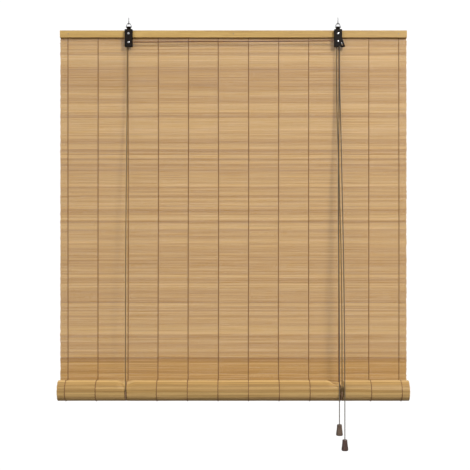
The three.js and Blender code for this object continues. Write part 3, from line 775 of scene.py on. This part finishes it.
cross_left = arc(left_axle, [-1, 0, 0], [0, 0, 1], CORD_TURN, 0, 90, 6)
cross_right = arc((lock_axle.x, front_groove_y, lock_axle.z), [0, 0, 1], [1, 0, 0], CORD_TURN, 0, 90, 6)
cross_line = line(cross_left[-1], cross_right[0])
steps_in = np.arange(len(cross_line))
from_pulley = np.minimum(steps_in, steps_in[::-1]) * LINE_STEP
cross_line[:, 2] -= CROSS_SAG * smoothstep(from_pulley / SAG_REACH)
cross_path = np.vstack([cross_left[:-1], cross_line, cross_right[1:]])
cross, _ = cord_piece("cross_cord_run", cross_path, "rail", cross_yarn)
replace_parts(cross, "cross_cord")
turn, _ = cord_piece(
    "lift_cord_right_over_pulley",
    arc((lock_axle.x, back_groove_y, lock_axle.z), [-1, 0, 0], [0, 0, 1], CORD_TURN, 0, 180, 12),
    "rail",
    lift_yarn,
)
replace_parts(turn, "lift_cord_right_turn")


# ---------------------------------------------------------------- tassels, knots and pull cords
def knot_path(centre, radius):
    """A tight overhand knot: a trefoil that fits in a ball of that radius."""
    t = np.linspace(0, 2 * np.pi, 49)[:-1]
    size = (radius - 0.8 * CORD_RADIUS) / 3
    loops = np.column_stack([
        (np.sin(t) + 2 * np.sin(2 * t)) * size,
        (np.cos(t) - 2 * np.cos(2 * t)) * size,
        -np.sin(3 * t) * size * 1.1,
    ])
    return np.array(centre) + loops


def knot_piece(name, node, body, radius_share=1.0):
    low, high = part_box(node)
    path = knot_path((low + high) / 2, radius_share * (high.z - low.z) / 2)
    closed_path = np.vstack([path, path[:1]])
    skin = Skin().add(tube(closed_path, 0.85 * CORD_RADIUS, 10))
    piece = skin.build(name, cord_yarn, body)
    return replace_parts(piece, node)


def tassel_piece(number):
    """A turned bell: flat top with a rounded rim, straight flaring side, round foot and a pocket below."""
    node = f"cord_tassel_{number}"
    low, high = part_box(node)
    bottom_radius = (high.x - low.x) / 2
    height = high.z - low.z
    top_radius = 5.9 * MM
    hole = CORD_RADIUS + 0.3 * MM
    pocket = 4 * MM
    pocket_depth = 9 * MM
    outline = [
        (hole, 0),
        (top_radius, 0),
        (top_radius + 0.35 * MM, -2.2 * MM),
        (0.6 * top_radius + 0.4 * bottom_radius, -0.42 * height),
        (bottom_radius, -0.86 * height),
        (bottom_radius - 0.4 * MM, -height),
        (pocket, -height),
        (pocket, -height + pocket_depth),
        (hole, -height + pocket_depth),
    ]
    profile = filleted(outline, 1.7 * MM, 5, closed=True)
    centre = ((low.x + high.x) / 2, (low.y + high.y) / 2, high.z)
    skin = Skin().add(turned(profile, centre, "z", 56, closed=True), closed=True)
    piece = skin.build(f"turned_tassel_{number}", tassel_wood[number - 1], f"tassel_{number}")
    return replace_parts(piece, node)


# The pull cords' sideways drifts from where they leave the lock, evenly spaced from the lock down.
PULL_CORDS = [
    (front_groove_y, [0, -0.4, -1.2, -2.6, -4.2, -5.4, -6.1, -6.4, -6.3, -6, -5.6, -5.3, -5.1, -5]),
    (back_groove_y, [0, 0, 1.0, 2.1, 3, 3.8, 4.6, 5.4, 6.1, 6.8, 7.4, 8, 8.5, 8.8]),
]
for number, (groove_y, drifts) in enumerate(PULL_CORDS, start=1):
    start = np.array([lock_exit_x, groove_y, lock_axle.z - CORD_GAP])
    route = descent(start, (start[0], hanging_cord_y, leg_bottom))
    down = np.linspace(0, 1, len(route))
    route[:, 0] += np.interp(down, np.linspace(0, 1, len(drifts)), np.array(drifts) * MM)
    upper, upper_path = cord_piece(f"pull_cord_{number}_from_lock", route, "rail")
    flatten_with_lift(upper)
    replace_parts(upper, f"pull_cord_{number}_upper")
    tassel = tassel_piece(number)
    knot = knot_piece(f"tassel_knot_in_{number}", f"tassel_knot_{number}", f"tassel_{number}")
    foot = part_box(f"pull_cord_{number}_lower")[0].z
    lower_route = [(route[-1][0], hanging_cord_y, roll_axis.z), (route[-1][0], hanging_cord_y, foot)]
    lower, lower_path = cord_piece(f"pull_cord_{number}_to_tassel", lower_route, None)
    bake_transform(lower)
    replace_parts(lower, f"pull_cord_{number}_lower")
for side in ("left", "right"):
    knot_piece(f"lift_cord_knot_{side}", f"lift_knot_{side}", "rail")


# ---------------------------------------------------------------- hooks, rings and eyes
HOOK_WIRE = 1.0 * MM
HOOK_BEND = 3.2 * MM
HOOK_DROP = 4.0 * MM
THREAD_LENGTH = 12 * MM
THREAD_PITCH = 1.3 * MM
THREAD_POINT = 3 * MM
RING_WIRE = 0.9 * MM
RING_HEIGHT = 9.7 * MM
RING_HALF_WIDTH = 7.6 * MM
RING_APEX_HALF_WIDTH = 3.4 * MM
EYE_WIRE = 0.8 * MM
EYE_RADIUS = 3.2 * MM


def threaded_point(x, start_z, end_z):
    """A wood screw's shank: a helical ridge on a core that narrows to the point."""
    per_turn = 20
    sides = 24
    stations = int((end_z - start_z) / THREAD_PITCH * per_turn)
    z = np.linspace(start_z, end_z, stations)[:, None]
    a = np.arange(sides)[None] / sides * 2 * np.pi
    taper = np.clip((end_z - z) / THREAD_POINT, 0.04, 1)
    phase = (z / THREAD_PITCH - a / (2 * np.pi)) % 1
    ridge = np.clip(1 - np.abs(phase - 0.5) / 0.22, 0, 1)
    radius = taper * (0.72 * HOOK_WIRE + 0.28 * HOOK_WIRE * ridge)
    heights = np.broadcast_to(z, radius.shape)
    return np.stack([x + radius * np.cos(a), radius * np.sin(a), heights], axis=-1)


def screw_hook(side, x):
    bend = arc((x, 0, -HOOK_DROP), [0, 1, 0], [0, 0, 1], HOOK_BEND, 60, -218, 48)
    shank_foot = -HOOK_DROP + HOOK_BEND + 1.2 * HOOK_WIRE
    wire = smooth_path(np.vstack([[x, 0, 1 * MM], [x, 0, shank_foot], bend[::4]]), 0.3 * MM)
    rounded_end = tube(wire, HOOK_WIRE, 20)
    for k, share in ((-3, 0.96), (-2, 0.85), (-1, 0.62 * 0.35)):
        rounded_end[k] = wire[k] + share * (rounded_end[k] - wire[k])
    skin = Skin()
    skin.add(rounded_end)
    skin.add(threaded_point(x, 0.6 * MM, THREAD_LENGTH))
    piece = skin.build(f"hook_wire_{side}", wire_steel, "hooks", crease=60)
    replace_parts(piece, f"screw_hook_{side}")


def hanger_ring(side, x):
    corners = [
        (-RING_HALF_WIDTH, 0),
        (RING_HALF_WIDTH, 0),
        (RING_APEX_HALF_WIDTH, RING_HEIGHT),
        (-RING_APEX_HALF_WIDTH, RING_HEIGHT),
    ]
    outline = filleted(corners, 1.8 * MM, 8, closed=True)
    loop = np.column_stack([x + outline[:, 0], np.zeros(len(outline)), left_bar.z + outline[:, 1]])
    dense = smooth_path(np.vstack([loop, loop[:1]]), 0.5 * MM)[:-1]
    rings = tube(np.vstack([dense, dense[:2]]), RING_WIRE, 18)[:-2]
    piece = Skin().add(rings, closed=True).build(f"ring_wire_{side}", wire_steel, f"ring_{side}", crease=60)
    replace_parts(piece, f"hanger_ring_{side}")


def cord_eye(side):
    low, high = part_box(f"cord_eye_{side}")
    centre = middle(f"cord_eye_{side}")
    eye_z = low.z + EYE_RADIUS + EYE_WIRE
    circle = arc((centre.x, centre.y, eye_z), [1, 0, 0], [0, 0, 1], EYE_RADIUS, 96, 444, 56)
    skin = Skin().add(tube(circle, EYE_WIRE, 16))
    shank = threaded_point(centre.x, eye_z + EYE_RADIUS, high.z) + np.array([0, centre.y, 0])
    skin.add(shank)
    piece = skin.build(f"screw_eye_{side}", wire_steel, "rail", crease=60)
    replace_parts(piece, f"cord_eye_{side}")


for side, x in (("left", -hook_x), ("right", hook_x)):
    screw_hook(side, x)
    hanger_ring(side, x)
    cord_eye(side)


# ---------------------------------------------------------------- screws, rivets, nails, pulleys and pin
TIP_RADIUS = 0.02 * MM               # a turned profile starts and ends this far from its axis


def cut_slot(piece, centre, size, turn):
    """Cuts a straight slot across a screw head."""
    box = bpy.data.meshes.new("slot")
    corners = [(i, j, k) for i in (-1, 1) for j in (-1, 1) for k in (-1, 1)]
    points = []
    for i, j, k in corners:
        u, v = i * size[0] / 2, k * size[2] / 2
        points.append((
            centre[0] + u * math.cos(turn) - v * math.sin(turn),
            centre[1] + j * size[1] / 2,
            centre[2] + u * math.sin(turn) + v * math.cos(turn),
        ))
    faces = [(0, 1, 3, 2), (4, 6, 7, 5), (0, 4, 5, 1), (2, 3, 7, 6), (0, 2, 6, 4), (1, 5, 7, 3)]
    box.from_pydata(points, [], faces)
    cutter = bpy.data.objects.new("slot", box)
    bpy.context.scene.collection.objects.link(cutter)
    modifier = piece.modifiers.new("slot", "BOOLEAN")
    modifier.operation = "DIFFERENCE"
    modifier.object = cutter
    evaluated = piece.evaluated_get(bpy.context.evaluated_depsgraph_get())
    cut_mesh = bpy.data.meshes.new_from_object(evaluated)
    piece.modifiers.clear()
    piece.data = cut_mesh
    bpy.data.objects.remove(cutter)


def bracket_screw(side):
    node = f"bracket_screw_{side}"
    low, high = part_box(node)
    centre = middle(node)
    head = (high.x - low.x) / 2
    head_back = low.y + 1.8 * MM
    shaft = head / 2
    profile = [
        (TIP_RADIUS, low.y),
        (0.5 * head, low.y + 0.02 * MM),
        (0.86 * head, low.y + 0.45 * MM),
        (head, low.y + 1.25 * MM),
        (head, head_back),
        (shaft, head_back),
        (shaft, high.y - 2 * shaft),
        (0.1 * shaft, high.y),
    ]
    skin = Skin().add(turned(filleted(profile, 0.35 * MM, 3), (centre.x, 0, centre.z), "y"))
    piece = skin.build(f"screw_{side}", steel, "rail")
    turn = {"left": 0.5, "right": -0.9}[side]
    cut_slot(piece, (centre.x, low.y, centre.z), (3 * head, 1.3 * MM, 0.8 * MM), turn)
    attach(piece, "rail")
    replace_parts(piece, node)


def rivet(node, name):
    low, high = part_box(node)
    centre = middle(node)
    head = (high.x - low.x) / 2
    head_back = low.y + 1.3 * MM
    axle = 1.5 * MM
    rear = high.y - 1.04 * MM
    profile = [
        (TIP_RADIUS, low.y),
        (0.45 * head, low.y + 0.06 * MM),
        (0.8 * head, low.y + 0.4 * MM),
        (head, low.y + 1.0 * MM),
        (head, head_back),
        (axle, head_back),
        (axle, rear),
        (0.88 * head, rear),
        (0.8 * head, rear + 0.5 * MM),
        (0.4 * head, high.y),
        (TIP_RADIUS, high.y),
    ]
    skin = Skin().add(turned(filleted(profile, 0.3 * MM, 3), (centre.x, 0, centre.z), "y"))
    piece = skin.build(name, steel, "rail")
    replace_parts(piece, node)


def rail_nail(number):
    node = f"rail_nail_{number}"
    low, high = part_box(node)
    centre = middle(node)
    head = (high.x - low.x) / 2
    head_back = low.y + 0.6 * MM
    shaft = 0.7 * MM
    profile = [
        (TIP_RADIUS, low.y),
        (0.7 * head, low.y + 0.05 * MM),
        (head, low.y + 0.35 * MM),
        (head, head_back),
        (shaft, head_back),
        (shaft, high.y - 1.4 * MM),
        (0.05 * MM, high.y),
    ]
    skin = Skin().add(turned(filleted(profile, 0.12 * MM, 2), (centre.x, 0, centre.z), "y", 24))
    piece = skin.build(f"brad_{number}", dark_steel, "rail")
    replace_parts(piece, node)


def grooved_pulley(node, name, body, axle, grooves):
    low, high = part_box(node)
    flange = (high.z - low.z) / 2
    bore = 1.8 * MM
    floor = CORD_TURN - CORD_RADIUS - PIECE_GAP
    lip = CORD_RADIUS + PIECE_GAP
    outline = [(bore, low.y), (flange, low.y)]
    for y in grooves:
        outline += [(flange, y - lip), (floor, y - 0.8 * lip), (floor, y + 0.8 * lip), (flange, y + lip)]
    outline += [(flange, high.y), (bore, high.y)]
    profile = filleted(outline, 0.25 * MM, 3, closed=True)
    skin = Skin().add(turned(profile, (axle.x, 0, axle.z), "y", 56, closed=True), closed=True)
    piece = skin.build(name, dark_steel, body)
    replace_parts(piece, node)


for side in ("left", "right"):
    bracket_screw(side)
rivet("pulley_axle_left", "rivet_left")
rivet("lock_axle", "rivet_lock")
for number in (1, 2, 3):
    rail_nail(number)
grooved_pulley("pulley_left", "left_pulley_wheel", "left_pulley", left_axle, [left_axle.y])
grooved_pulley("lock_pulley", "lock_pulley_wheel", "lock_pulley", lock_axle, [front_groove_y, back_groove_y])

pin_low, pin_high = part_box("lock_roller_pin")
pin_centre = middle("lock_roller_pin")
pin_radius = (pin_high.x - pin_low.x) / 2
pin_profile = [
    (TIP_RADIUS, pin_low.y),
    (pin_radius, pin_low.y),
    (pin_radius, pin_high.y),
    (TIP_RADIUS, pin_high.y),
]
pin_skin = Skin().add(turned(filleted(pin_profile, 0.3 * MM, 4), (pin_centre.x, 0, pin_centre.z), "y"))
pin = pin_skin.build("lock_pin", steel, "lock_roller")
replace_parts(pin, "lock_roller_pin")


# ---------------------------------------------------------------- CAD parts that stay, with softened edges
def keep_node(node, material, edge, segments=3):
    part = frame["nodes"][node]
    part.data.materials.clear()
    part.data.materials.append(material)
    bevel = part.modifiers.new("soft_edges", "BEVEL")
    bevel.width = edge
    bevel.segments = segments
    bevel.limit_method = "ANGLE"
    bevel.angle_limit = math.radians(50)
    bevel.use_clamp_overlap = True


keep_node("rail_front", rail_wood, 0.5 * MM)
keep_node("rail_back", rail_wood, 0.5 * MM)
keep_node("bottom_batten", rail_wood, 1.2 * MM)
keep_node("pulley_bracket_left", lacquer, 0.22 * MM, 2)
keep_node("cord_lock_housing", lacquer, 0.22 * MM, 2)
keep_node("lock_roller", dark_steel, 0.12 * MM, 1)

# ---------------------------------------------------------------- the screen stands for its CAD solids
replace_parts(slats_band, "screen_top_band")
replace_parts(slats_hanging, "screen_hanging")
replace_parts(slats_rolled, "screen_roll")
for piece in warps.values():
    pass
for piece in (slats_hanging, warps["hanging"]):
    flatten_with_lift(piece)


# ---------------------------------------------------------------- floor, light and camera
SURROUNDINGS = (1.05, 1.05, 1.05)
AMBIENT_LOW = (0.3, 0.3, 0.3)
AMBIENT_HIGH = (1.05, 1.05, 1.05)
LAMP_TARGET = (0, 0, -0.5)
KEY_PLACE = (1.9, -3.3, 1.7)
KEY_SIZE = (1.0, 1.0)
KEY_POWER = 131
FILL_PLACE = (-2.2, -3.0, 0.6)
FILL_SIZE = (2.0, 2.0)
FILL_POWER = 29
FLOOR_Z = -2.95
FLOOR_HALF = 7
LENS = 72.6
CAMERA_DISTANCE = 2.465              # from the screen
CAMERA_RIGHT = 4.2 * MM              # of the middle of the blind
CAMERA_BELOW = 8 * MM                # the middle of the blind


def floor_material():
    """White to the eye, but a dull grey to the light, so that the undersides stay dark."""
    material = bpy.data.materials.new("pale_floor")
    material.use_nodes = True
    shader = material.node_tree.nodes["Principled BSDF"]
    shader.inputs["Base Color"].default_value = (0.25, 0.25, 0.25, 1)
    shader.inputs["Roughness"].default_value = 0.9
    shader.inputs["Emission Color"].default_value = (1, 1, 1, 1)
    path = material.node_tree.nodes.new("ShaderNodeLightPath")
    material.node_tree.links.new(path.outputs["Is Camera Ray"], shader.inputs["Emission Strength"])
    return material


def floor(z, half):
    mesh = bpy.data.meshes.new("floor")
    corners = [(-half, -half, z), (half, -half, z), (half, half, z), (-half, half, z)]
    mesh.from_pydata(corners, [], [(0, 1, 2, 3)])
    mesh.materials.append(floor_material())
    plane = bpy.data.objects.new("floor", mesh)
    bpy.context.scene.collection.objects.link(plane)


def area_light(name, place, size, power):
    data = bpy.data.lights.new(name, "AREA")
    data.shape = "RECTANGLE"
    data.size, data.size_y = size
    data.energy = power
    light = bpy.data.objects.new(name, data)
    light.location = place
    light.rotation_euler = (Vector(LAMP_TARGET) - Vector(place)).to_track_quat("-Z", "Z").to_euler()
    bpy.context.scene.collection.objects.link(light)


def studio():
    """Plain pale surroundings that look white, weaker light from below, and soft lamps in front."""
    world = bpy.data.worlds.new("studio")
    world.use_nodes = True
    bpy.context.scene.world = world
    nodes = world.node_tree.nodes
    links = world.node_tree.links
    separate = nodes.new("ShaderNodeSeparateXYZ")
    links.new(nodes.new("ShaderNodeTexCoord").outputs["Generated"], separate.inputs["Vector"])
    height = nodes.new("ShaderNodeMapRange")
    height.inputs["From Min"].default_value = -0.1
    height.inputs["From Max"].default_value = 0.9
    links.new(separate.outputs["Z"], height.inputs["Value"])
    sky = nodes.new("ShaderNodeMix")
    sky.data_type = "RGBA"
    sky.inputs[6].default_value = (*AMBIENT_LOW, 1)
    sky.inputs[7].default_value = (*AMBIENT_HIGH, 1)
    links.new(height.outputs["Result"], sky.inputs[0])
    ambient = nodes.new("ShaderNodeMix")
    ambient.data_type = "RGBA"
    links.new(sky.outputs[2], ambient.inputs[6])
    ambient.inputs[7].default_value = (*SURROUNDINGS, 1)
    links.new(nodes.new("ShaderNodeLightPath").outputs["Is Camera Ray"], ambient.inputs[0])
    links.new(ambient.outputs[2], nodes["Background"].inputs["Color"])
    area_light("key_right", KEY_PLACE, KEY_SIZE, KEY_POWER)
    area_light("fill_left", FILL_PLACE, FILL_SIZE, FILL_POWER)


low, high = cad_box
camera_data = bpy.data.cameras.new("camera")
camera_data.lens = LENS
camera_data.sensor_width = 36
camera = bpy.data.objects.new("camera", camera_data)
camera.location = (
    (low.x + high.x) / 2 + CAMERA_RIGHT,
    screen_y - CAMERA_DISTANCE,
    (low.z + high.z) / 2 - CAMERA_BELOW,
)
camera.rotation_euler = (math.pi / 2, 0, 0)
bpy.context.scene.collection.objects.link(camera)
bpy.context.scene.camera = camera
floor(FLOOR_Z, FLOOR_HALF)
studio()
bpy.context.scene.view_settings.view_transform = "Standard"

bpy.context.view_layer.update()
